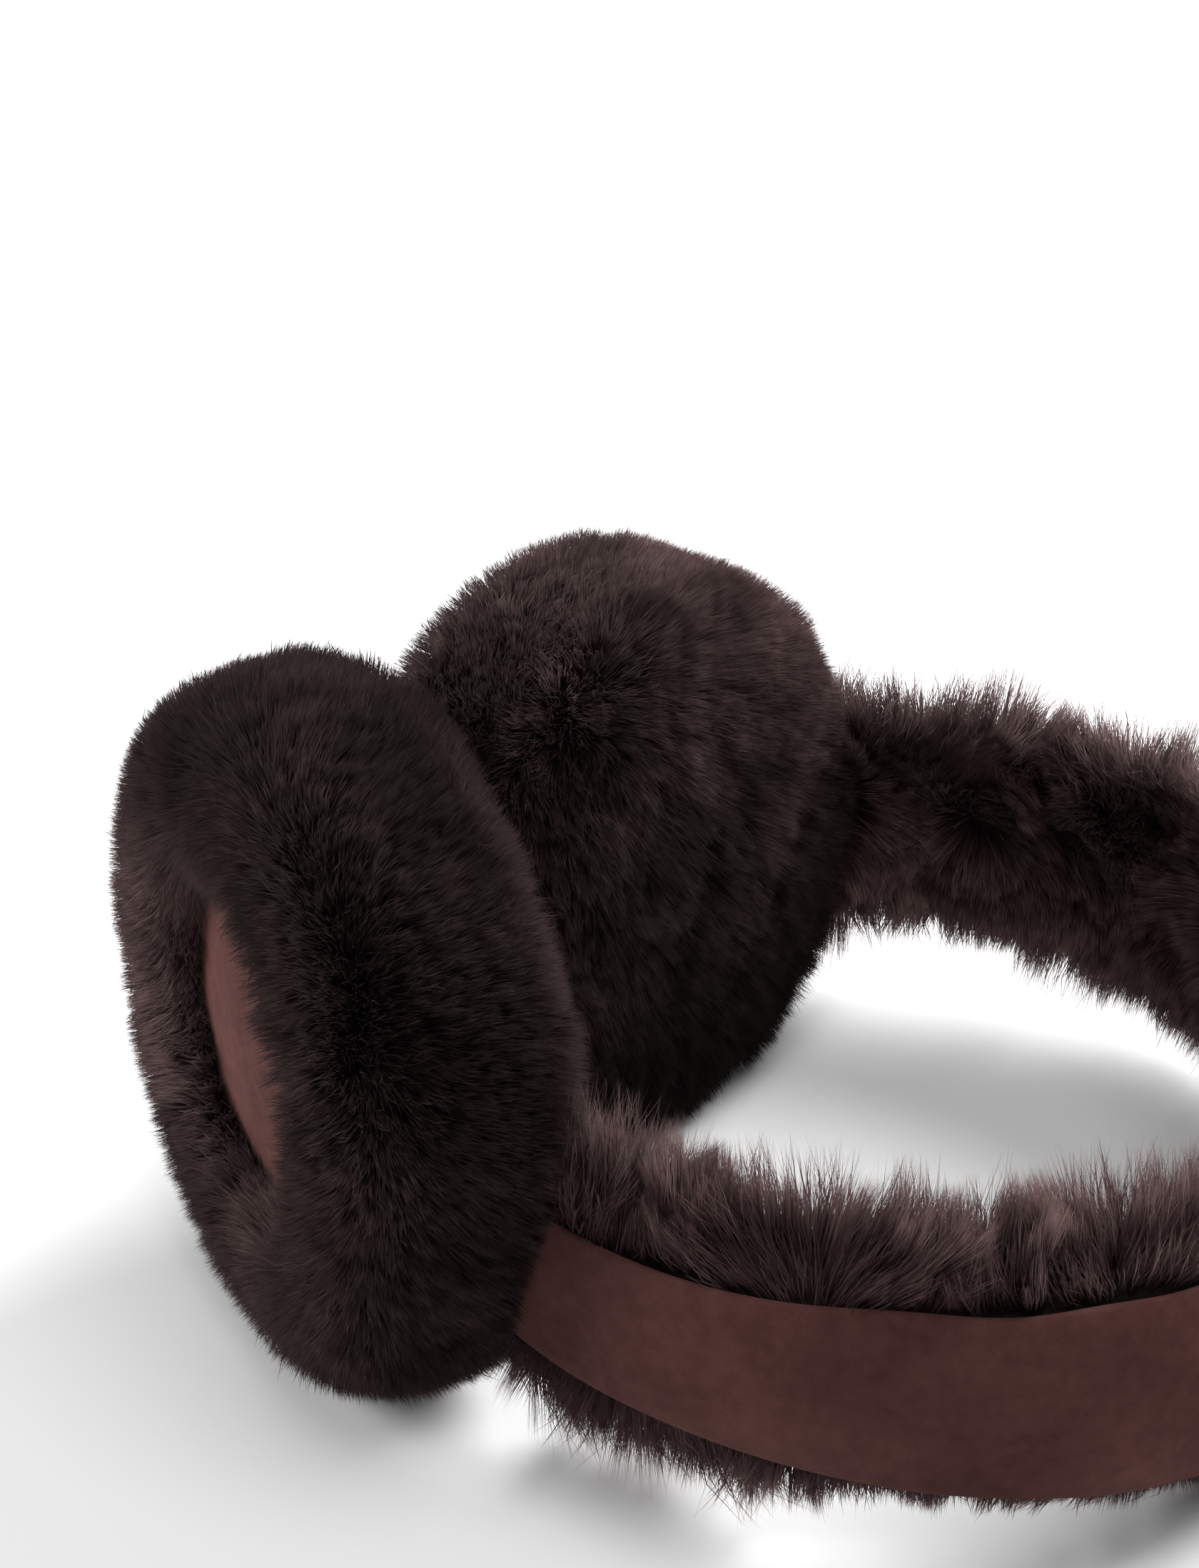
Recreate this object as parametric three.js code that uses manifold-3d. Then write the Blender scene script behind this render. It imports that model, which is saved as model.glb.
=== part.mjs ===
// Fur earmuffs lying on their side: a sprung headband with suede outside and deep fur inside,
// and two round fur cups, each a puffed ring round a sunk suede disc outside and a domed pad
// on the ear side. Millimetres, +Z up. +X points from the cups to the crown of the headband
// and Z = 0 is the surface that the earmuffs lie on.
import * as THREE from 'three';
import { mergeVertices } from 'three/addons/utils/BufferGeometryUtils.js';
import Module from 'manifold-3d';

// ---- driving dimensions -------------------------------------------------------------------
const GAP = 0.3; // air left between neighbouring parts

const LOOP_RADIUS = 77; // headband seen from above, at its suede face
const BAND_HEIGHT = { cups: 38, crown: 26.7 }; // middle of the band above the surface
const BAND_ENDS = { left: -132, right: 112 }; // degrees from the crown, inside the cups
const BAND_STEPS = 50;
const SUEDE_HALF = { cups: 8.5, crown: 17.5 }; // half the suede's width
const SUEDE_THICK = 2;
const SUEDE_BOW = 1.6; // how far the strip crowns outwards
const FUR_OVERHANG = 9.6; // fur past each edge of the suede
const FUR_DEPTH = 18; // fur from the suede to the head side

// Heights run along a cup's axis from the plane that its turn and tilt are about: up is the
// outer face, down is the ear side.
const CUP_STEPS = 36;
const CUP = {
  crest: 16, // top of the puffed ring
  crestRadius: 36,
  mouth: 26, // radius of the sunk place
  floor: 6.5,
  seam: -10, // where the wall and the ear pad are sewn together
  seamDip: 3, // how far the seam draws the wall in
  padInset: 2.5, // how much narrower the ear pad is than the wall
  padFace: -23.5, // middle of the ear side
};
const DISC = { radius: 25, thick: 2, dome: 1.4 };

// Each cup: its middle on the plan, how high it stands, its radius with the fur, the turn of
// its outer face away from -X (towards -Y for the left) and that face's tilt up from level.
const CUPS = [
  { side: 'left', x: -74.9, y: -31.6, z: 49.4, radius: 51.4, turn: -38, tilt: 0 },
  { side: 'right', x: -50.2, y: 36.5, z: 42, radius: 45.4, turn: 30, tilt: -7 },
];

const SUEDE = { color: 0x5b3c37, roughness: 0.95, metalness: 0 };
const FUR = { color: 0x241c1c, roughness: 1, metalness: 0 };

// ---- solids -------------------------------------------------------------------------------
const wasm = await Module();
wasm.setup();

function toSolid(geometry) {
  const bare = geometry.clone();
  bare.deleteAttribute('normal');
  bare.deleteAttribute('uv');
  const welded = mergeVertices(bare, 1e-4);
  return new wasm.Manifold(
    new wasm.Mesh({
      numProp: 3,
      vertProperties: new Float32Array(welded.attributes.position.array),
      triVerts: new Uint32Array(welded.index.array),
    }),
  );
}

function toGeometry(solid) {
  const mesh = solid.getMesh();
  const geometry = new THREE.BufferGeometry();
  geometry.setAttribute('position', new THREE.BufferAttribute(mesh.vertProperties, 3));
  geometry.setIndex(new THREE.BufferAttribute(mesh.triVerts, 1));
  geometry.computeVertexNormals();
  return geometry;
}

// Everything that would reach under the surface is pressed flat against it.
const below = toSolid(new THREE.BoxGeometry(600, 600, 100).translate(0, 0, -50));
const rested = (geometry) => toSolid(geometry).subtract(below);

// ---- cups ---------------------------------------------------------------------------------
// The profiles run in (distance from the cup's axis, height along the axis); the outer face
// looks up the axis. 'wide' is the cup's radius, and a grown profile is the room that the cup
// takes up, with its sunk place filled in.
function ringProfile(wide, grow = 0) {
  const outer = wide + grow;
  const foot = CUP.seam + GAP / 2 - grow;
  const top = CUP.crest + grow;
  const path = new THREE.Path();
  path.moveTo(0, foot);
  path.lineTo(outer - CUP.seamDip, foot);
  path.quadraticCurveTo(outer, foot + 1, outer, CUP.seam + 9);
  path.bezierCurveTo(outer, top - 5, CUP.crestRadius + 10, top, CUP.crestRadius, top);
  if (grow > 0) {
    path.lineTo(0, top);
  } else {
    path.bezierCurveTo(CUP.crestRadius - 6, top, CUP.mouth, top - 4, CUP.mouth, CUP.floor);
    path.lineTo(0, CUP.floor);
  }
  return path.getPoints(6);
}

function padProfile(wide, grow = 0) {
  const outer = wide - CUP.padInset + grow;
  const face = CUP.padFace - grow;
  const top = CUP.seam - GAP / 2 + grow;
  const path = new THREE.Path();
  path.moveTo(0, face);
  path.bezierCurveTo(outer * 0.5, face, outer, face + 4, outer, CUP.seam - 3.5);
  path.quadraticCurveTo(outer, top - 1, outer - CUP.seamDip / 2, top);
  path.lineTo(0, top);
  return path.getPoints(7);
}

function discProfile() {
  const base = CUP.floor + GAP;
  const path = new THREE.Path();
  path.moveTo(0, base);
  path.lineTo(DISC.radius, base);
  path.lineTo(DISC.radius, base + DISC.thick);
  path.quadraticCurveTo(DISC.radius / 2, base + DISC.thick + DISC.dome, 0,
    base + DISC.thick + DISC.dome);
  return path.getPoints(3);
}

// Turns a profile about the cup's axis and stands the result where the cup is.
function cupPart(profile, cup) {
  const outward = new THREE.Vector3(-1, 0, 0)
    .applyAxisAngle(new THREE.Vector3(0, 1, 0), THREE.MathUtils.degToRad(cup.tilt))
    .applyAxisAngle(new THREE.Vector3(0, 0, 1), THREE.MathUtils.degToRad(-cup.turn));
  const place = new THREE.Matrix4().makeRotationFromQuaternion(
    new THREE.Quaternion().setFromUnitVectors(new THREE.Vector3(0, 1, 0), outward),
  );
  place.setPosition(cup.x, cup.y, cup.z);
  return new THREE.LatheGeometry(profile, CUP_STEPS).applyMatrix4(place);
}

// ---- headband -----------------------------------------------------------------------------
const mix = ({ cups, crown }, t) => cups + (crown - cups) * t;

// A closed band along the loop: 'section' gives the cross-section's points as (outwards from
// the suede face, up) for the share t of the way from the cups to the crown.
function bandPart(section) {
  const { left, right } = BAND_ENDS;
  const points = [];
  const faces = [];
  let count = 0;
  for (let i = 0; i <= BAND_STEPS; i += 1) {
    const angle = THREE.MathUtils.degToRad(left + ((right - left) * i) / BAND_STEPS);
    const t = (1 + Math.cos(angle)) / 2;
    const ring = section(t);
    count = ring.length;
    for (const [out, up] of ring) {
      const radius = LOOP_RADIUS + out;
      points.push(radius * Math.cos(angle), radius * Math.sin(angle), mix(BAND_HEIGHT, t) + up);
    }
  }
  for (let i = 0; i < BAND_STEPS; i += 1) {
    for (let j = 0; j < count; j += 1) {
      const [a, b] = [i * count + j, i * count + ((j + 1) % count)];
      faces.push(a, a + count, b, b, a + count, b + count);
    }
  }
  const last = BAND_STEPS * count;
  for (let j = 1; j < count - 1; j += 1) {
    faces.push(0, j, j + 1, last, last + j + 1, last + j);
  }
  const geometry = new THREE.BufferGeometry();
  geometry.setAttribute('position', new THREE.Float32BufferAttribute(points, 3));
  geometry.setIndex(faces);
  return geometry;
}

// The suede strip bows outwards and its long edges turn in towards the fur.
function suedeSection(t) {
  const half = mix(SUEDE_HALF, t);
  const ring = [];
  for (let k = -3; k <= 3; k += 1) ring.push([-SUEDE_BOW * (k / 3) ** 2, (half * k) / 3]);
  for (let k = 3; k >= -3; k -= 1) {
    ring.push([-SUEDE_THICK - SUEDE_BOW * (k / 3) ** 2, ((half - 0.6) * k) / 3]);
  }
  return ring;
}

// The fur lies behind the strip and swells past both of its edges.
function furSection(t) {
  const half = mix(SUEDE_HALF, t);
  const back = -SUEDE_THICK - GAP;
  const ring = [];
  for (let k = 2; k >= -2; k -= 1) ring.push([back - SUEDE_BOW * (k / 2) ** 2, (half * k) / 2]);
  const tall = half + FUR_OVERHANG;
  const middle = (back - SUEDE_BOW - FUR_DEPTH) / 2 + 1;
  const deep = -FUR_DEPTH - middle;
  for (let k = 0; k <= 14; k += 1) {
    const a = THREE.MathUtils.degToRad(-60 - (240 * k) / 14);
    const c = Math.cos(a);
    const s = Math.sin(a);
    ring.push([
      middle - Math.sign(c) * deep * Math.abs(c) ** 0.75,
      Math.sign(s) * tall * Math.abs(s) ** 0.75,
    ]);
  }
  return ring.reverse();
}

// ---- assembly -----------------------------------------------------------------------------
const earmuffs = new THREE.Group();
earmuffs.name = 'fur_earmuffs';

function addPart(name, solid, finish) {
  const mesh = new THREE.Mesh(toGeometry(solid), new THREE.MeshStandardMaterial(finish));
  mesh.name = name;
  earmuffs.add(mesh);
}

// The room that a cup takes up, with the air round it.
function cupSpace(cup) {
  const [wall, pad] = [ringProfile, padProfile].map((p) =>
    toSolid(cupPart(p(cup.radius, GAP + 0.1), cup)));
  return wall.add(pad);
}

const [leftSpace, rightSpace] = CUPS.map(cupSpace);
const bothSpaces = leftSpace.add(rightSpace);
addPart('band_cover', toSolid(bandPart(suedeSection)).subtract(bothSpaces), SUEDE);
addPart('band_lining', rested(bandPart(furSection)).subtract(bothSpaces), FUR);
for (const cup of CUPS) {
  const wall = rested(cupPart(ringProfile(cup.radius), cup));
  const pad = rested(cupPart(padProfile(cup.radius), cup));
  addPart(`${cup.side}_fur_ring`, wall, FUR);
  // The left pad gives way where the right cup leans into it.
  addPart(`${cup.side}_fur_pad`, cup.side === 'left' ? pad.subtract(rightSpace) : pad, FUR);
  addPart(`${cup.side}_suede_disc`, toSolid(cupPart(discProfile(), cup)), SUEDE);
}

// The middle of the whole box's underside is the origin.
const middle = new THREE.Box3().setFromObject(earmuffs).getCenter(new THREE.Vector3());
for (const mesh of earmuffs.children) mesh.geometry.translate(-middle.x, -middle.y, 0);

export default earmuffs;
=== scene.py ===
# %% [markdown]
# # Fur earmuffs lying on their side
# A pair of sheepskin earmuffs: a sprung headband with suede outside and long fur inside, and
# two round cups. Each cup is a puffed fur ring round a sunk suede disc, with a domed fur pad
# on the ear side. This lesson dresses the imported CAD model: the soft skins are spun with
# bmesh operators, and the fur is grown on them as hundreds of thousands of thin blades.

# %% Frame
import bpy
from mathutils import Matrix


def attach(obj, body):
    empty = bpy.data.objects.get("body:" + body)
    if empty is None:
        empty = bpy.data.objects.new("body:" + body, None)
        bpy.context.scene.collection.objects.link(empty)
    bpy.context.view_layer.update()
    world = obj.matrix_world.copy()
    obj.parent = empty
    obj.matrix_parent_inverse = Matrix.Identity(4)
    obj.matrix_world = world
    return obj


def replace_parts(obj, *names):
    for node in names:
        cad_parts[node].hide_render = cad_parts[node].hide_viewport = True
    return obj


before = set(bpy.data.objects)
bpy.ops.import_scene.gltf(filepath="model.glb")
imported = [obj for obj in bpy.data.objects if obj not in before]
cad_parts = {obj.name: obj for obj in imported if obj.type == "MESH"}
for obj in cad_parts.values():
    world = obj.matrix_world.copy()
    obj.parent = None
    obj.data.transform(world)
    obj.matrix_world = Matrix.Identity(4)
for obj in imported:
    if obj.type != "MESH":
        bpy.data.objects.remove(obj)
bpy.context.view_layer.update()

# %% [markdown]
# ## Units and tools
# Everything is in metres, so a length in millimetres is written as a number times MM. The
# random numbers all come from generators with a fixed seed, so the fur falls the same way
# each time that the script runs.

# %% Tools
import math

import bmesh
import bpy
import numpy as np
from mathutils import Matrix, Vector
from mathutils.geometry import interpolate_bezier
from mathutils.kdtree import KDTree

MM = 0.001
UP = np.array([0.0, 0.0, 1.0])
scene = bpy.context.scene

# %% [markdown]
# ## Camera
# The earmuffs are seen from in front of the left cup and a little above, with a short
# telephoto lens. The camera is made first, so that every later choice can be judged in it.

# %% Camera
CAMERA_AZIMUTH = math.radians(11)
CAMERA_ELEVATION = math.radians(30.13)
CAMERA_DISTANCE = 577.7 * MM
CAMERA_TARGET = Vector((-35.8, 53.4, 40)) * MM
LENS = 85.4

back = Vector((
    math.sin(CAMERA_AZIMUTH) * math.cos(CAMERA_ELEVATION),
    -math.cos(CAMERA_AZIMUTH) * math.cos(CAMERA_ELEVATION),
    math.sin(CAMERA_ELEVATION),
))
camera = bpy.data.objects.new("camera", bpy.data.cameras.new("camera"))
camera.data.lens = LENS
camera.location = CAMERA_TARGET + back * CAMERA_DISTANCE
camera.rotation_euler = (-back).to_track_quat("-Z", "Y").to_euler()
scene.collection.objects.link(camera)
scene.camera = camera
print("camera at", [round(value, 4) for value in camera.location])

# %% [markdown]
# ## Where the cups and the headband are
# The CAD model stands each cup on its own axis, and bends the headband along a circle whose
# middle is a little behind the crown. The same facts are needed here. A cup's own space has
# its axis as z, pointing out of the suede side, and its y is as near upright as it gets.

# %% Places
LOOP_CENTRE = Vector((18.28, -1.99, 0)) * MM
LOOP_RADIUS = 77 * MM
BAND_ENDS = math.radians(-132), math.radians(112)
BAND_HEIGHT = 38 * MM, 26.7 * MM  # at the cups, at the crown
SUEDE_HALF = 8.5 * MM, 17.5 * MM


def cup_space(centre, outward):
    """The matrix from a cup's own space to the shared frame."""
    z = Vector(outward).normalized()
    y = (Vector((0, 0, 1)) - z * z.z).normalized()
    turn = Matrix((y.cross(z), y, z)).transposed().to_4x4()
    return Matrix.Translation(Vector(centre) * MM) @ turn


CUPS = {
    "left": (51.4 * MM, cup_space((-56.62, -33.59, 49.4), (-0.788, -0.616, 0))),
    "right": (45.4 * MM, cup_space((-31.92, 34.51, 42), (-0.860, 0.496, -0.122))),
}
for side, (wide, space) in CUPS.items():
    print(side, "cup radius", wide, "at", [round(value, 4) for value in space.translation])

# %% [markdown]
# ## Shader maths
# A material is a graph of nodes. To keep it readable, a Signal wraps one socket and takes
# part in ordinary sums, and Finish.node() adds any other node: its type, its settings, and
# then the values or links of its sockets.


# %% Shader tools
class Signal:
    """A shader socket that takes part in sums."""

    def __init__(self, finish, socket):
        self.finish, self.socket = finish, socket

    def maths(self, operation, first, second):
        return self.finish.node("ShaderNodeMath", {"operation": operation}, {0: first, 1: second})

    def __add__(self, other):
        return self.maths("ADD", self, other)

    def __sub__(self, other):
        return self.maths("SUBTRACT", self, other)

    def __rsub__(self, other):
        return self.maths("SUBTRACT", other, self)

    def __mul__(self, other):
        return self.maths("MULTIPLY", self, other)

    __radd__, __rmul__ = __add__, __mul__


class Finish:
    """A material that is built node by node."""

    def __init__(self, name):
        self.material = bpy.data.materials.new(name)
        self.material.use_nodes = True
        self.tree = self.material.node_tree
        self.tree.nodes.clear()

    def node(self, kind, settings, inputs, output=0):
        node = self.tree.nodes.new(kind)
        for setting, value in settings.items():
            if setting == "stops":
                self.set_stops(node.color_ramp, value)
            else:
                setattr(node, setting, value)
        for key, value in inputs.items():
            socket = self.find(node.inputs, key)
            if isinstance(value, Signal):
                self.tree.links.new(value.socket, socket)
            else:
                socket.default_value = value
        return Signal(self, self.find(node.outputs, output)) if node.outputs else None

    @staticmethod
    def find(sockets, key):
        if isinstance(key, int):
            return sockets[key]
        return next(s for s in sockets if key in (s.identifier, s.name))

    @staticmethod
    def set_stops(ramp, stops):
        while len(ramp.elements) < len(stops):
            ramp.elements.new(0.5)
        for element, (place, colour) in zip(ramp.elements, stops):
            element.position, element.color = place, (*colour, 1)

    def noise(self, where, scale, detail=3, roughness=0.5):
        """Soft random grain from 0 to 1, with 'scale' cells to the metre."""
        return self.node("ShaderNodeTexNoise", {}, {
            "Vector": where, "Scale": scale, "Detail": detail, "Roughness": roughness})

    def mix(self, factor, first, second):
        """Goes from the first colour to the second."""
        first, second = [c if isinstance(c, Signal) else (*c, 1) for c in (first, second)]
        return self.node("ShaderNodeMix", {"data_type": "RGBA"}, {
            "Factor_Float": factor, "A_Color": first, "B_Color": second}, "Result_Color")

    def scaled(self, colour, amount):
        """The colour, brighter or darker by 'amount' times."""
        return self.node("ShaderNodeVectorMath", {"operation": "SCALE"}, {
            0: colour, "Scale": amount})

    def shade(self, inputs, glow=None, share=0):
        """Ends the material with one Principled shader, and a share of light let through."""
        surface = self.node("ShaderNodeBsdfPrincipled", {}, inputs)
        if glow:
            surface = self.node("ShaderNodeMixShader", {}, {0: share, 1: surface, 2: glow})
        self.node("ShaderNodeOutputMaterial", {}, {"Surface": surface})
        print("finish", self.material.name, "with", len(self.tree.nodes), "nodes")
        return self.material


# %% [markdown]
# ## Suede
# Suede is the flesh side of the skin, brushed to a short nap. It has no shine, only a faint
# bloom at glancing angles, and its colour wanders where the nap lies one way or the other.
# Slow noise makes the patches, finer noise the mottling, and the finest drives the bump.

# %% Suede finish
SUEDE_DEEP = (0.036, 0.0138, 0.0121)
SUEDE_MID = (0.0551, 0.0231, 0.0206)
SUEDE_PALE = (0.081, 0.0365, 0.0328)


def suede_finish():
    f = Finish("rose_brown_suede")
    here = f.node("ShaderNodeTexCoord", {}, {}, "Object")
    patches = f.noise(here, 45, 2)
    mottle = f.noise(here, 420, 4, 0.6)
    nap = f.noise(here, 2600, 3, 0.7)
    level = patches * 0.55 + mottle * 0.3 + nap * 0.15
    colour = f.node("ShaderNodeValToRGB", {"stops": [
        (0.34, SUEDE_DEEP), (0.5, SUEDE_MID), (0.68, SUEDE_PALE)]}, {"Fac": level})
    bump = f.node("ShaderNodeBump", {}, {
        "Height": nap * 0.6 + mottle * 0.4, "Strength": 0.35, "Distance": 0.25 * MM})
    return f.shade({
        "Base Color": colour, "Roughness": 0.95, "Specular IOR Level": 0.04,
        "Sheen Weight": 0.03, "Sheen Roughness": 0.5, "Sheen Tint": (0.8, 0.45, 0.4, 1),
        "Normal": bump})


suede = suede_finish()

# %% [markdown]
# ## Fur
# Every hair is one thin blade. Its own map holds all that the colour needs: across the map
# runs the hair's shade, its lock's own tone with the painted light and shade of its place,
# and up the map runs the way from its root to its tip. Roots are nearly black, because
# little light gets down there, and tips are paler. The skin under the fur is painted the
# dark shade of the roots, so that no gap between hairs shows.

# %% Fur finishes
FUR_MAP = "OFBake"
FUR_ROOT = (0.0085, 0.0047, 0.0049)
FUR_LOW = (0.0150, 0.0083, 0.0086)
FUR_HIGH = (0.030, 0.0178, 0.0181)
FUR_TIP = (0.125, 0.085, 0.083)
FUR_GLOW = (0.170, 0.115, 0.112)
GLOW_SHARE = (0.09, 0.42)  # of the darkest hairs, and what the palest add


def fur_finish():
    f = Finish("brown_black_fur")
    where = f.node("ShaderNodeUVMap", {"uv_map": FUR_MAP}, {})
    lock = f.node("ShaderNodeSeparateXYZ", {}, {0: where}, "X")
    along = f.node("ShaderNodeSeparateXYZ", {}, {0: where}, "Y")
    colour = f.node("ShaderNodeValToRGB", {"stops": [
        (0.0, FUR_ROOT), (0.4, FUR_LOW), (0.8, FUR_HIGH), (1.0, FUR_TIP)]}, {"Fac": along})
    streaks = f.noise(where, 60, 2)
    pale = lock * lock
    lit = f.scaled(colour, pale * 3.2 + streaks * 0.3 - 0.1)
    warm = f.node("ShaderNodeVectorMath", {"operation": "MULTIPLY"}, {
        0: lit, 1: (1.12, 0.96, 0.93)})
    tinted = f.mix(streaks, lit, warm)
    glow = f.node("ShaderNodeBsdfTranslucent", {}, {"Color": (*FUR_GLOW, 1)})
    return f.shade({
        "Base Color": tinted, "Roughness": 0.85, "Specular IOR Level": 0.06}, glow,
        pale * GLOW_SHARE[1] + GLOW_SHARE[0])


def skin_finish():
    f = Finish("fur_skin")
    here = f.node("ShaderNodeTexCoord", {}, {}, "Object")
    grain = f.noise(here, 700, 4, 0.65)
    # Painted shade: the skin takes the dark colours of the hairs' roots.
    colour = f.mix(grain, FUR_ROOT, FUR_LOW)
    bump = f.node("ShaderNodeBump", {}, {"Height": grain, "Strength": 0.6, "Distance": MM})
    return f.shade({
        "Base Color": colour, "Roughness": 1.0, "Specular IOR Level": 0.1, "Normal": bump})


fur, skin = fur_finish(), skin_finish()

# %% [markdown]
# ## Turned skins
# A cup's skin is a solid of revolution, so its half outline is drawn once and spun about the
# axis. The outline stays a pile's depth inside the CAD solid, whose surface is where the fur
# ends. Spinning leaves a heap of points at each pole and one seam, which merging closes.


# %% Turning
def place_piece(mesh, material):
    """An object of a finished mesh, riding on the earmuffs' only body."""
    mesh.materials.append(material)
    piece = bpy.data.objects.new(mesh.name, mesh)
    scene.collection.objects.link(piece)
    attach(piece, "root")
    print(mesh.name, "has", len(mesh.polygons), "faces")
    return piece


def smooth_piece(name, bm, material):
    """A smooth piece of a bmesh."""
    mesh = bpy.data.meshes.new(name)
    bm.to_mesh(mesh)
    bm.free()
    mesh.shade_smooth()
    return place_piece(mesh, material)


def outline(*strokes, steps=9):
    """One path of points from strokes: two points are a straight line, four a Bezier."""
    path = []
    for stroke in strokes:
        points = [Vector((radius, 0, height)) * MM for radius, height in stroke]
        if len(points) == 4:
            points = interpolate_bezier(*points, steps)
        path.extend(points if not path else points[1:])
    return path


def turned(path, space, steps=96):
    """The path, spun about the cup's axis and put in its place."""
    bm = bmesh.new()
    verts = [bm.verts.new(point) for point in path]
    edges = [bm.edges.new(pair) for pair in zip(verts, verts[1:])]
    bmesh.ops.spin(bm, geom=verts + edges, cent=(0, 0, 0), axis=(0, 0, 1), dvec=(0, 0, 0),
                   angle=math.tau, steps=steps, use_merge=True)
    bmesh.ops.remove_doubles(bm, verts=bm.verts, dist=1e-6)
    bmesh.ops.transform(bm, matrix=space, verts=bm.verts)
    bmesh.ops.recalc_face_normals(bm, faces=bm.faces)
    return bm


# %% [markdown]
# ## The skins of the cups
# The ring is a stuffed roll with a sunk middle; the pad is a shallow dome on the ear side.
# Both are closed, padded forms. Heights run up the cup's axis: the suede side is up.

# %% Cup skins
PILE = 4.5  # mm of fur over the skins of the cups
CREST, FACE = 16, -23.5  # mm up the axis: where the fur ends, on the ring and on the pad
RING_SEAM, PAD_SEAM = -9.85, -10.15
SUNK_RADIUS, SUNK_HEIGHT = 27.6, 6.2


def ring_outline(wide):
    rim, top, seam = wide / MM - PILE, CREST - PILE, RING_SEAM
    return outline(
        ((0, seam), (rim - 1, seam)),
        ((rim - 1, seam), (rim - 0.3, seam + 1.5), (rim, seam + 5), (rim, -1)),
        ((rim, -1), (rim, top - 4), (43, top), (36, top)),
        ((36, top), (30.5, top), (SUNK_RADIUS, top - 1.5), (SUNK_RADIUS, SUNK_HEIGHT)),
        ((SUNK_RADIUS, SUNK_HEIGHT), (0, SUNK_HEIGHT)))


def pad_outline(wide):
    rim, face, seam = wide / MM - 1.2 - PILE, FACE + PILE, PAD_SEAM
    return outline(
        ((0, face), (rim * 0.5, face), (rim * 0.97, face + 2.5), (rim, seam)),
        ((rim, seam), (0, seam)), steps=14)


def puff_lip(bm, space, amount):
    """Raises the ring's crest on the side away from the headband's crown."""
    inverse, axis = space.inverted(), space.to_3x3() @ Vector((0, 0, 1))
    for v in bm.verts:
        here = inverse @ v.co
        radius = max(here.xy.length, MM)
        crest = math.exp(-((radius - 32 * MM) / (8 * MM)) ** 2)
        if here.z > 0:
            v.co += axis * amount * crest * max(here.x / radius, 0)


skins = {}
for side, (wide, space) in CUPS.items():
    for part, path in (("ring", ring_outline(wide)), ("pad", pad_outline(wide))):
        form = turned(path, space)
        if (side, part) == ("left", "ring"):
            puff_lip(form, space, 3 * MM)
        piece = smooth_piece(f"{side}_{part}_skin", form, skin)
        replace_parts(piece, f"{side}_fur_{part}")
        skins[side, part] = piece

# %% [markdown]
# ## Suede discs
# Each disc is a soft, slightly domed button of suede that sits in the ring's sunk middle.
# A turned form has a perfect edge; real suede dimples a little, so a few soft waves are
# pushed into it afterwards.


# %% Discs
def waves(points, size, seed):
    """Smooth random waves about 'size' long at the points, mostly from -1 to 1."""
    rng = np.random.default_rng(seed)
    total = np.zeros(len(points))
    for _ in range(7):
        direction = rng.normal(size=3)
        direction *= math.tau / size * rng.uniform(0.6, 1.5) / np.linalg.norm(direction)
        total += np.sin(np.asarray(points) @ direction + rng.uniform(0, math.tau))
    return total / 2.6


def dimple(bm, size, depth, seed):
    """Pushes soft waves into a surface along its normals."""
    bm.normal_update()
    pushes = waves([v.co for v in bm.verts], size, seed) * depth
    for v, push in zip(bm.verts, pushes):
        v.co += v.normal * push


def disc_outline():
    return outline(
        ((0, 6.8), (24.4, 6.8)),
        ((24.4, 6.8), (25.1, 7.0), (25.1, 8.2), (24.2, 8.7)),
        ((24.2, 8.7), (17, 9.9), (8, 10.2), (0, 10.2)))


for number, (side, (_, space)) in enumerate(CUPS.items()):
    disc = turned(disc_outline(), space, 72)
    dimple(disc, 16 * MM, 0.25 * MM, 11 + number)
    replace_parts(smooth_piece(f"{side}_disc", disc, suede), f"{side}_suede_disc")

# %% [markdown]
# ## The headband's suede and skin
# The headband is a band along a circle that widens and sinks towards its crown. A flat
# cross-section is spun about the loop's middle, and then each point is shifted to the height
# and width that the band has there. While it spins, a point's height runs from -1 at the
# lower edge to 1 at the upper one, which makes the widening a single multiplication.


# %% Headband
def along_band(angle, ends):
    """A measure that goes from its value at the cups to its value at the crown."""
    share = (1 + np.cos(angle)) / 2
    return ends[0] + (ends[1] - ends[0]) * share


def banded(nearest, farthest, square, margin, bow, segments, steps=140):
    """A band between two distances outwards from the loop, 'margin' past the suede's edges."""
    bm = bmesh.new()
    circle = bmesh.ops.create_circle(bm, segments=segments, radius=1)["verts"]
    for v in circle:
        out, up = [math.copysign(abs(c) ** square, c) for c in v.co.xy]
        v.co = (LOOP_RADIUS + nearest + (farthest - nearest) * (out + 1) / 2, 0, up)
    bmesh.ops.rotate(bm, cent=(0, 0, 0), verts=circle,
                     matrix=Matrix.Rotation(BAND_ENDS[0], 3, "Z"))
    bmesh.ops.spin(bm, geom=bm.verts[:] + bm.edges[:], cent=(0, 0, 0), axis=(0, 0, 1),
                   dvec=(0, 0, 0), angle=BAND_ENDS[1] - BAND_ENDS[0], steps=steps)
    bmesh.ops.holes_fill(bm, edges=[e for e in bm.edges if e.is_boundary], sides=0)
    for v in bm.verts:
        angle, radius, up = math.atan2(v.co.y, v.co.x), v.co.xy.length, v.co.z
        radius -= bow * up * up
        height = along_band(angle, BAND_HEIGHT)
        height += up * (along_band(angle, SUEDE_HALF) + margin)
        v.co = LOOP_CENTRE + Vector((radius * math.cos(angle), radius * math.sin(angle), height))
    bmesh.ops.recalc_face_normals(bm, faces=bm.faces)
    return bm


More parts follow.
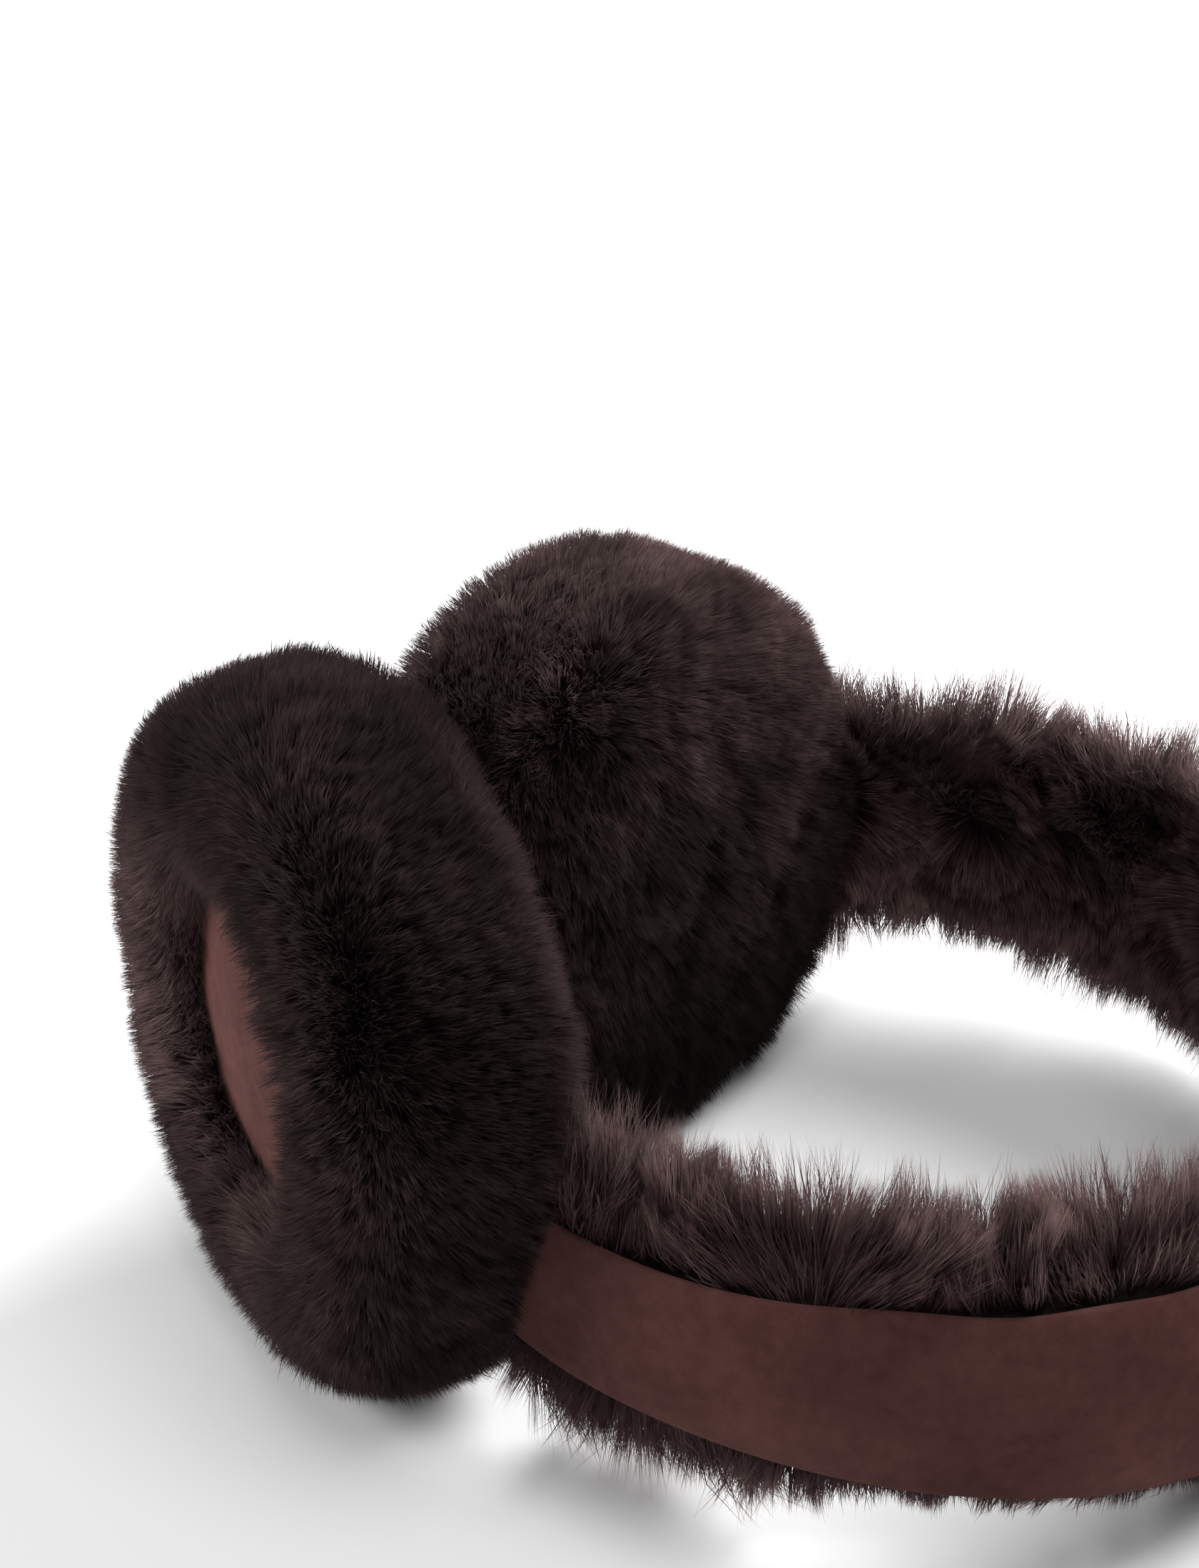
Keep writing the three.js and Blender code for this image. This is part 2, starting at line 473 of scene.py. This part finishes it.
cover = banded(-2 * MM, 0, 0.5, 0, 1.6 * MM, 48)
dimple(cover, 22 * MM, 0.3 * MM, 21)
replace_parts(smooth_piece("headband_suede", cover, suede), "band_cover")
lining = banded(-11 * MM, -2.6 * MM, 0.6, 1.0 * MM, 1.6 * MM, 32)
dimple(lining, 15 * MM, 0.4 * MM, 22)
lining = smooth_piece("headband_skin", lining, skin)
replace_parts(lining, "band_lining")

# %% [markdown]
# ## Roots of the hairs
# Hairs start at random places on a skin. Each triangle of the skin gets its share of them by
# its area, times how much fur is wanted there, and the skin's normal at that place says which
# way is out. A spun mesh may hold its faces in a different order each time, so the triangles
# are sorted first. Then the same seed always gives the same fur.


# %% Roots
def unit(vectors):
    """The vectors, each one metre long."""
    return vectors / np.maximum(np.linalg.norm(vectors, axis=1, keepdims=True), 1e-9)


def ramp(values):
    """Goes smoothly from 0, for values up to 0, to 1, for values from 1."""
    values = np.clip(values, 0, 1)
    return values * values * (3 - 2 * values)


def sorted_triangles(mesh):
    """The corners of a mesh's triangles, in an order that is the same each time."""
    triangles = []
    for face in mesh.polygons:
        ring = list(face.vertices)
        first = ring.index(min(ring))
        ring = ring[first:] + ring[:first]
        triangles += [(ring[0], *pair) for pair in zip(ring[1:], ring[2:])]
    return np.array(sorted(triangles))


def scatter(piece, count, wanted, rng):
    """Random points on a piece and their normals; 'wanted' says how much fur a place gets."""
    corners = sorted_triangles(piece.data)
    places = np.empty(len(piece.data.vertices) * 3, np.float32)
    piece.data.vertices.foreach_get("co", places)
    places = places.reshape(-1, 3).astype(float)
    a, b, c = places[corners].transpose(1, 0, 2)
    across = np.cross(b - a, c - a)
    normals = np.zeros_like(places)
    for corner in corners.T:
        np.add.at(normals, corner, across)
    places, normals = places[corners], unit(normals)[corners]
    area = np.linalg.norm(across, axis=1) / 2
    area *= wanted(places.mean(1), unit(normals.mean(1)))
    chosen = rng.choice(len(area), count, p=area / area.sum())
    a, b = rng.random((2, count))
    a, b = np.where(a + b > 1, 1 - a, a), np.where(a + b > 1, 1 - b, b)
    shares = np.stack([1 - a - b, a, b], 1)[:, :, None]
    print(f"{piece.name}: {count} roots, {count / (area.sum() / MM ** 2):.1f} to a square mm")
    return (places[chosen] * shares).sum(1), unit((normals[chosen] * shares).sum(1))


# %% [markdown]
# ## Locks
# Hairs don't stand alone. They gather into locks whose tips lean together, with dark gaps
# between them, and each lock has its own lean, length and shade. Without this the fur looks
# like felt. Every hair belongs to the lock whose middle is nearest.


# %% Growing
def locks_of(roots, locks, rng):
    """For each root, the number of the lock that it belongs to."""
    middles = roots[rng.choice(len(roots), locks, replace=False)]
    tree = KDTree(len(middles))
    for number, middle in enumerate(middles):
        tree.insert(middle, number)
    tree.balance()
    return np.array([tree.find(root)[1] for root in roots])


def grow(roots, normals, comb, lean, length, shade, rng, locks, tufts, pull, stray=0.1,
         sway=0.1, uneven=0.05, ragged=0.07):
    """Hairs that lean from the normal towards 'comb', in tufts that are made of locks.

    'pull' draws the tips of a lock together. 'stray' and 'sway' turn hairs and whole tufts;
    'ragged' and 'uneven' vary the lengths of hairs and whole tufts.
    """
    lock, tuft = locks_of(roots, locks, rng), locks_of(roots, tufts, rng)
    way = unit(comb - normals * (comb * normals).sum(1, keepdims=True))
    way = normals * np.cos(lean)[:, None] + way * np.sin(lean)[:, None]
    way = unit(way + rng.normal(size=(tufts, 3))[tuft] * sway
               + rng.normal(size=(locks, 3))[lock] * stray
               + rng.normal(size=roots.shape) * stray)
    length = length * (1 + uneven * rng.normal(size=tufts)[tuft]
                       + 0.04 * rng.normal(size=locks)[lock]
                       + ragged * rng.normal(size=len(roots)))
    tips = roots + way * length[:, None]
    count = np.maximum(np.bincount(lock, minlength=locks), 1)[:, None]
    together = np.stack([np.bincount(lock, tips[:, i], locks) for i in range(3)], 1) / count
    pull = np.clip(pull * (1 + 0.5 * rng.normal(size=len(roots))), 0, 0.9)[:, None]
    tips += (together[lock] - tips) * pull
    tips[:, 2] = np.maximum(tips[:, 2], (0.3 + rng.random(len(tips)) * 0.9) * MM)
    shade = shade * (1 + 0.12 * rng.normal(size=tufts)[tuft]
                     + 0.10 * rng.normal(size=locks)[lock]
                     + 0.09 * rng.normal(size=len(roots)))
    return {"roots": roots - normals * 0.4 * MM, "normals": normals, "tips": tips,
            "shade": np.clip(shade, 0.03, 0.97)}


# %% [markdown]
# ## Blades
# A short hair is a single triangle from its root to its tip. A long one is bent at its
# middle, so it takes three. All the hairs of a piece are joined in one mesh from arrays,
# because an operator for each hair would take minutes.


# %% Blades
UNDERFUR_WIDTH, GUARD_WIDTH = 0.22 * MM, 0.15 * MM  # of the short and the long hairs


def half_widths(hairs, width, rng):
    """From the middle to the side of each blade, each turned its own way."""
    faced = hairs["normals"] + rng.normal(size=hairs["roots"].shape) * 0.55
    return unit(np.cross(hairs["tips"] - hairs["roots"], faced)) * width / 2


def straight_blades(hairs, rng):
    """Corners, faces and map of hairs of one triangle each."""
    roots, tips, half = hairs["roots"], hairs["tips"], half_widths(hairs, UNDERFUR_WIDTH, rng)
    corners = np.stack([roots - half, roots + half, tips], 1)
    shade, zero = hairs["shade"], np.zeros(len(roots))
    table = np.stack([
        np.stack([shade - 0.01, zero], 1), np.stack([shade + 0.01, zero], 1),
        np.stack([shade, zero + 1], 1)], 1)
    return corners.reshape(-1, 3), np.arange(len(roots) * 3).reshape(-1, 3), table


def bent_blades(hairs, bend, rng):
    """Corners, faces and map of hairs of three triangles each, upright at first."""
    roots, tips, half = hairs["roots"], hairs["tips"], half_widths(hairs, GUARD_WIDTH, rng)
    reach = np.linalg.norm(tips - roots, axis=1, keepdims=True)
    sway = rng.normal(size=roots.shape) * 0.06
    knees = (roots + tips) / 2 + (hairs["normals"] * bend + sway) * reach
    knees[:, 2] = np.maximum(knees[:, 2], 0.3 * MM)
    corners = np.stack([roots - half, roots + half, knees - half * 0.9, knees + half * 0.9,
                        tips], 1)
    shade, zero = hairs["shade"], np.zeros(len(roots))
    table = np.stack([
        np.stack([shade - 0.01, zero], 1), np.stack([shade + 0.01, zero], 1),
        np.stack([shade - 0.008, zero + 0.5], 1), np.stack([shade + 0.008, zero + 0.5], 1),
        np.stack([shade, zero + 1], 1)], 1)
    pattern = np.array([[0, 1, 3], [0, 3, 2], [2, 3, 4]])
    faces = (np.arange(len(roots))[:, None, None] * 5 + pattern).reshape(-1, 3)
    return corners.reshape(-1, 3), faces, table.reshape(-1, 2)[faces]


def fur_piece(name, batches):
    """Makes one piece of all its hairs, from the corners, faces and map of each batch."""
    start, corners, faces, table = 0, [], [], []
    for points, triangles, places in batches:
        corners.append(points)
        faces.append(triangles + start)
        table.append(places.reshape(-1, 2))
        start += len(points)
    corners, faces, table = [np.concatenate(a) for a in (corners, faces, table)]
    mesh = bpy.data.meshes.new(name)
    mesh.vertices.add(len(corners))
    mesh.vertices.foreach_set("co", corners.astype(np.float32).ravel())
    mesh.loops.add(faces.size)
    mesh.loops.foreach_set("vertex_index", faces.astype(np.int32).ravel())
    mesh.polygons.add(len(faces))
    mesh.polygons.foreach_set("loop_start", np.arange(len(faces), dtype=np.int32) * 3)
    mesh.uv_layers.new(name=FUR_MAP)
    mesh.uv_layers[FUR_MAP].data.foreach_set("uv", table.astype(np.float32).ravel())
    mesh.update(calc_edges=True)
    place_piece(mesh, fur)


# %% [markdown]
# ## Which way the cups' fur lies
# The fur of a ring is combed out of its sunk middle, over the crest and down the wall to the
# ear side. On a pad it lies outwards from a swirl, and stands up more towards the edge. Both
# rules work in the cup's own space.


# %% Cup fur
def to_cup(space, points, turn_only=False):
    """Points, or directions, in the cup's own space."""
    inverse = np.array(space.inverted())
    shift = 0 if turn_only else inverse[:3, 3]
    return points @ inverse[:3, :3].T + shift


def from_cup(space, directions):
    """Directions in a cup's own space, turned to the shared frame."""
    return directions @ np.array(space)[:3, :3].T


def inside_cup(points, side, shrink):
    """Whether points are in a cup, 'shrink' below its fur."""
    wide, space = CUPS[side]
    here = to_cup(space, points)
    radius = np.hypot(here[:, 0], here[:, 1])
    return (radius < wide - shrink) & (here[:, 2] < CREST * MM - shrink) & (
        here[:, 2] > FACE * MM + shrink)


SWIRL = {"left": (6, 10), "right": (9, 31)}  # mm from a pad's middle: sideways, up
RING_TUFTS, PAD_TUFTS = 130, 90
PRESSED = 0.5 * MM  # no hair grows where a skin is this near the surface it lies on


def cup_painted_light_and_tone(side, here):
    """Painted light and shade on a cup's fur at places in its own space, times random lumps of
    tone.
    """
    across, high = here[:, :2].T / CUPS[side][0]
    # Left cup: painted light makes the fur paler on the -x side and a touch paler low down, and
    # painted shade darkens the top.
    if side == "left":
        top = ramp(high * 1.3 - 0.1)
        tone = 0.36 + 0.44 * ramp(-across * 1.2 - 0.2) * (1 - top)
        tone += 0.04 * ramp(-high) - 0.14 * top
    else:
        # Right cup: painted light makes the fur paler at the top and most of all on the upper -x
        # side, and painted shade darkens the lower part.
        tone = 0.31 + 0.18 * ramp(high + 0.1) - 0.27 * ramp(-1.2 * high)
        tone += 0.45 * ramp(-1.3 * across) * ramp(1.3 * high)
    # The waves are random lumps of tone, which the fur has under any light.
    return tone * (1 + 0.22 * waves(here, 20 * MM, 8))


def ring_fur(side, underfur, guard, rng):
    """The fur of a ring, of 'underfur' short hairs and 'guard' long ones."""
    space = CUPS[side][1]

    def wanted(points, normals):
        here, facing = to_cup(space, points), to_cup(space, normals, True)
        radius = np.hypot(here[:, 0], here[:, 1])
        sunk = (radius < 27.4 * MM) & (here[:, 2] > 0)
        return np.where(sunk | (facing[:, 2] < -0.85) | (points[:, 2] < PRESSED), 0, 1.0)

    def lie(count, extra, lock_hairs, pull):
        roots, normals = scatter(skins[side, "ring"], count, wanted, rng)
        here, facing = to_cup(space, roots), to_cup(space, normals, True)
        radius = np.hypot(here[:, 0], here[:, 1])[:, None]
        outward = here[:, :2] / radius
        slope = (facing[:, :2] * outward).sum(1)
        down_the_wall = np.concatenate([outward * facing[:, 2:], -slope[:, None]], 1)
        over_the_disc = np.concatenate([-outward, np.full_like(radius, 0.35)], 1)
        lip = ramp((34.5 * MM - radius) / (5 * MM)) * (here[:, 2:] > 0)
        comb = down_the_wall + (over_the_disc - down_the_wall) * lip
        lip, beyond = lip[:, 0], radius[:, 0] - 33 * MM
        parting = np.exp(-(beyond / np.where(beyond > 0, 7 * MM, 3 * MM)) ** 2)
        lean = np.radians(34 - 6 * lip) * (1 - 0.85 * parting * (here[:, 2] > 0))
        lean += 0.12 * waves(roots, 18 * MM, 5)
        length = (5.3 + 2.4 * lip + extra) * MM
        # Painted highlight: the fur of the lip round the sunk disc is made paler.
        shade = cup_painted_light_and_tone(side, here) + 0.15 * lip
        return grow(roots, normals, from_cup(space, comb), lean, length, shade, rng,
                    count // lock_hairs, RING_TUFTS, pull)

    fur_piece(f"{side}_ring_fur", [
        straight_blades(lie(underfur, 0, 40, 0.1), rng),
        bent_blades(lie(guard, 0.5, 8, 0.16), 0.1, rng)])


def pad_fur(side, underfur, guard, rng):
    """The fur of an ear pad."""
    space = CUPS[side][1]

    def wanted(points, normals):
        facing = to_cup(space, normals, True)
        return np.where((facing[:, 2] > 0.7) | (points[:, 2] < PRESSED), 0, 1.0)

    def lie(count, extra, lock_hairs, pull):
        roots, normals = scatter(skins[side, "pad"], count, wanted, rng)
        here, facing = to_cup(space, roots), to_cup(space, normals, True)
        comb = (here - [*np.array(SWIRL[side]) * MM, 0]) * [1, 1, 0]
        away = np.linalg.norm(comb, axis=1)
        edge = np.clip(np.hypot(facing[:, 0], facing[:, 1]), 0, 1)
        lean = np.radians(46 - 26 * edge) * ramp(away / (12 * MM))
        lean += 0.15 * waves(roots, 15 * MM, 6)
        length = (5.6 + extra + 0.5 * edge) * MM
        return grow(roots, normals, from_cup(space, unit(comb)), lean, length,
                    cup_painted_light_and_tone(side, here), rng, count // lock_hairs, PAD_TUFTS, pull)

    fur_piece(f"{side}_pad_fur", [
        straight_blades(lie(underfur, 0, 50, 0.14), rng),
        bent_blades(lie(guard, 0.6, 10, 0.22), 0.1, rng)])


COAT = 1
for number, (side, ring, pad) in enumerate((
        ("left", (150000, 13000), (60000, 8000)),
        ("right", (112000, 10000), (84000, 12000)))):
    rng = np.random.default_rng(100 + number)
    ring_fur(side, *[int(n * COAT) for n in ring], rng)
    pad_fur(side, *[int(n * COAT) for n in pad], rng)

# %% [markdown]
# ## The headband's fur
# Along the headband the pile is longer and looser. On the inside it hangs in soft locks, and
# past both edges of the suede it stands out as a ragged fringe. It is made as two pieces, one
# for each arm, so that neither grows too heavy.


# %% Headband fur
def band_fur(arm, fringe_share, fringe_length, tufts, tone, underfur, guard, rng):
    """The fur of one arm; its fringes have their own share of the hairs, and extra length."""
    def wanted(points, normals):
        from_loop = points - np.array(LOOP_CENTRE)
        angle = np.arctan2(from_loop[:, 1], from_loop[:, 0])
        outwards = (unit(from_loop * [1, 1, 0]) * normals).sum(1)
        on_arm = (angle < 0) if arm == "left" else (angle >= 0)
        hidden = inside_cup(points, "left", 5 * MM) | inside_cup(points, "right", 5 * MM)
        past_suede = abs(points[:, 2] - along_band(angle, BAND_HEIGHT)) > 0.97 * along_band(
            angle, SUEDE_HALF)
        bare = (outwards > 0.93) & ~past_suede
        keep = on_arm & ~hidden & ~bare & (points[:, 2] > 0.8 * MM)
        return np.where(keep, 1 + (fringe_share - 1) * np.abs(normals[:, 2]) ** 2, 0)

    def lie(count, extra, lock_hairs, pull):
        roots, normals = scatter(lining, count, wanted, rng)
        from_loop = unit((roots - np.array(LOOP_CENTRE)) * [1, 1, 0])
        sideways = np.cross(UP, from_loop)
        drift = waves(roots, 30 * MM, 7)[:, None]
        fringe = np.abs(normals[:, 2])
        angle = np.arctan2(roots[:, 1] - LOOP_CENTRE.y, roots[:, 0] - LOOP_CENTRE.x)
        rise = (roots[:, 2] - along_band(angle, BAND_HEIGHT)) / along_band(angle, SUEDE_HALF)
        comb = sideways * (0.5 * drift) + UP * (1.3 * rise[:, None] - 0.25)
        shoulder = ramp(2 * (from_loop * normals).sum(1))
        comb -= from_loop * (0.8 * fringe * (1 - shoulder))[:, None]
        lean = np.radians(50 - 36 * fringe + 30 * shoulder)
        length = (8.2 + fringe_length * fringe ** 2 + extra) * MM
        length *= 1 - 0.7 * shoulder * rng.random(count)
        at_cup = ramp((abs(np.degrees(angle)) - 85) / 25)
        below = rise < -0.8
        length *= np.where(below, 0.6 + (1.1 if arm == "left" else 0.4) * at_cup, 1)
        shade = (tone + 0.1 * fringe ** 2) * (1 + 0.12 * waves(roots, 20 * MM, 10))
        # Painted light: the hanging fur under the suede near the cups is made paler, though
        # little light reaches it there.
        shade += 0.15 * below * at_cup
        return grow(roots, normals, comb, lean, length, shade, rng, count // lock_hairs,
                    tufts, pull, stray=0.05, sway=0.2, uneven=0.14, ragged=0.045)

    fur_piece(f"headband_fur_{arm}", [
        straight_blades(lie(underfur, 0, 50, 0.16), rng),
        bent_blades(lie(guard, 0.8, 12, 0.22), 0.08, rng)])


# The last number is each arm's base tone with painted light in it: the right arm, whose inner
# face is turned away from the lamps, is painted paler.
for number, arm in enumerate((("left", 2.2, 4.4, 190, 0.82), ("right", 0.35, 6.0, 240, 0.95))):
    rng = np.random.default_rng(200 + number)
    band_fur(*arm, int(104000 * COAT), int(28000 * COAT), rng)

# %% [markdown]
# ## Floor and light
# The earmuffs lie on a plain pale floor. The strongest light is large, and hangs behind them
# to the right, so that the fringes glow and the near sides stay dark. One from the left draws
# the edge of the ring, and a weaker one in front and above opens the shadows a little.


# %% Stage
def floor_finish():
    f = Finish("pale_floor")
    here = f.node("ShaderNodeTexCoord", {}, {}, "Object")
    colour = f.mix(f.noise(here, 3, 2), (0.62, 0.62, 0.62), (0.66, 0.66, 0.66))
    return f.shade({"Base Color": colour, "Roughness": 0.9, "Specular IOR Level": 0.1})


def soft_light(name, place, size, power):
    """A round soft light that points at the middle of the earmuffs."""
    light = bpy.data.lights.new(name, "AREA")
    light.shape, light.size, light.energy = "DISK", size, power
    lamp = bpy.data.objects.new(name, light)
    lamp.location = place
    towards = Vector((0, 0, 40 * MM)) - Vector(place)
    lamp.rotation_euler = towards.to_track_quat("-Z", "Y").to_euler()
    scene.collection.objects.link(lamp)
    print("light", name, power, "W")


FLOOR_REACH = 4  # metres from its middle to each side

floor_shape = bmesh.new()
bmesh.ops.create_grid(floor_shape, x_segments=1, y_segments=1, size=FLOOR_REACH)
floor_mesh = bpy.data.meshes.new("floor")
floor_shape.to_mesh(floor_mesh)
floor_shape.free()
floor_mesh.materials.append(floor_finish())
floor = bpy.data.objects.new("floor", floor_mesh)
scene.collection.objects.link(floor)
soft_light("behind_right", (0.75, 0.95, 1.0), 1.3, 72)
soft_light("left", (-1.5, -0.05, 0.45), 0.8, 44)
soft_light("overhead", (0.35, -0.45, 1.5), 1.2, 17)

world = bpy.data.worlds.new("studio")
world.use_nodes = True
nodes, links = world.node_tree.nodes, world.node_tree.links
seen = nodes.new("ShaderNodeLightPath").outputs["Is Camera Ray"]
strength = nodes.new("ShaderNodeMapRange")
strength.inputs["To Min"].default_value = 0.2  # what the walls of the room light up
strength.inputs["To Max"].default_value = 0.9  # what the walls look like
links.new(seen, strength.inputs["Value"])
links.new(strength.outputs["Result"], nodes["Background"].inputs["Strength"])
nodes["Background"].inputs["Color"].default_value = (1, 1, 1, 1)
scene.world = world
scene.view_settings.view_transform = "Standard"
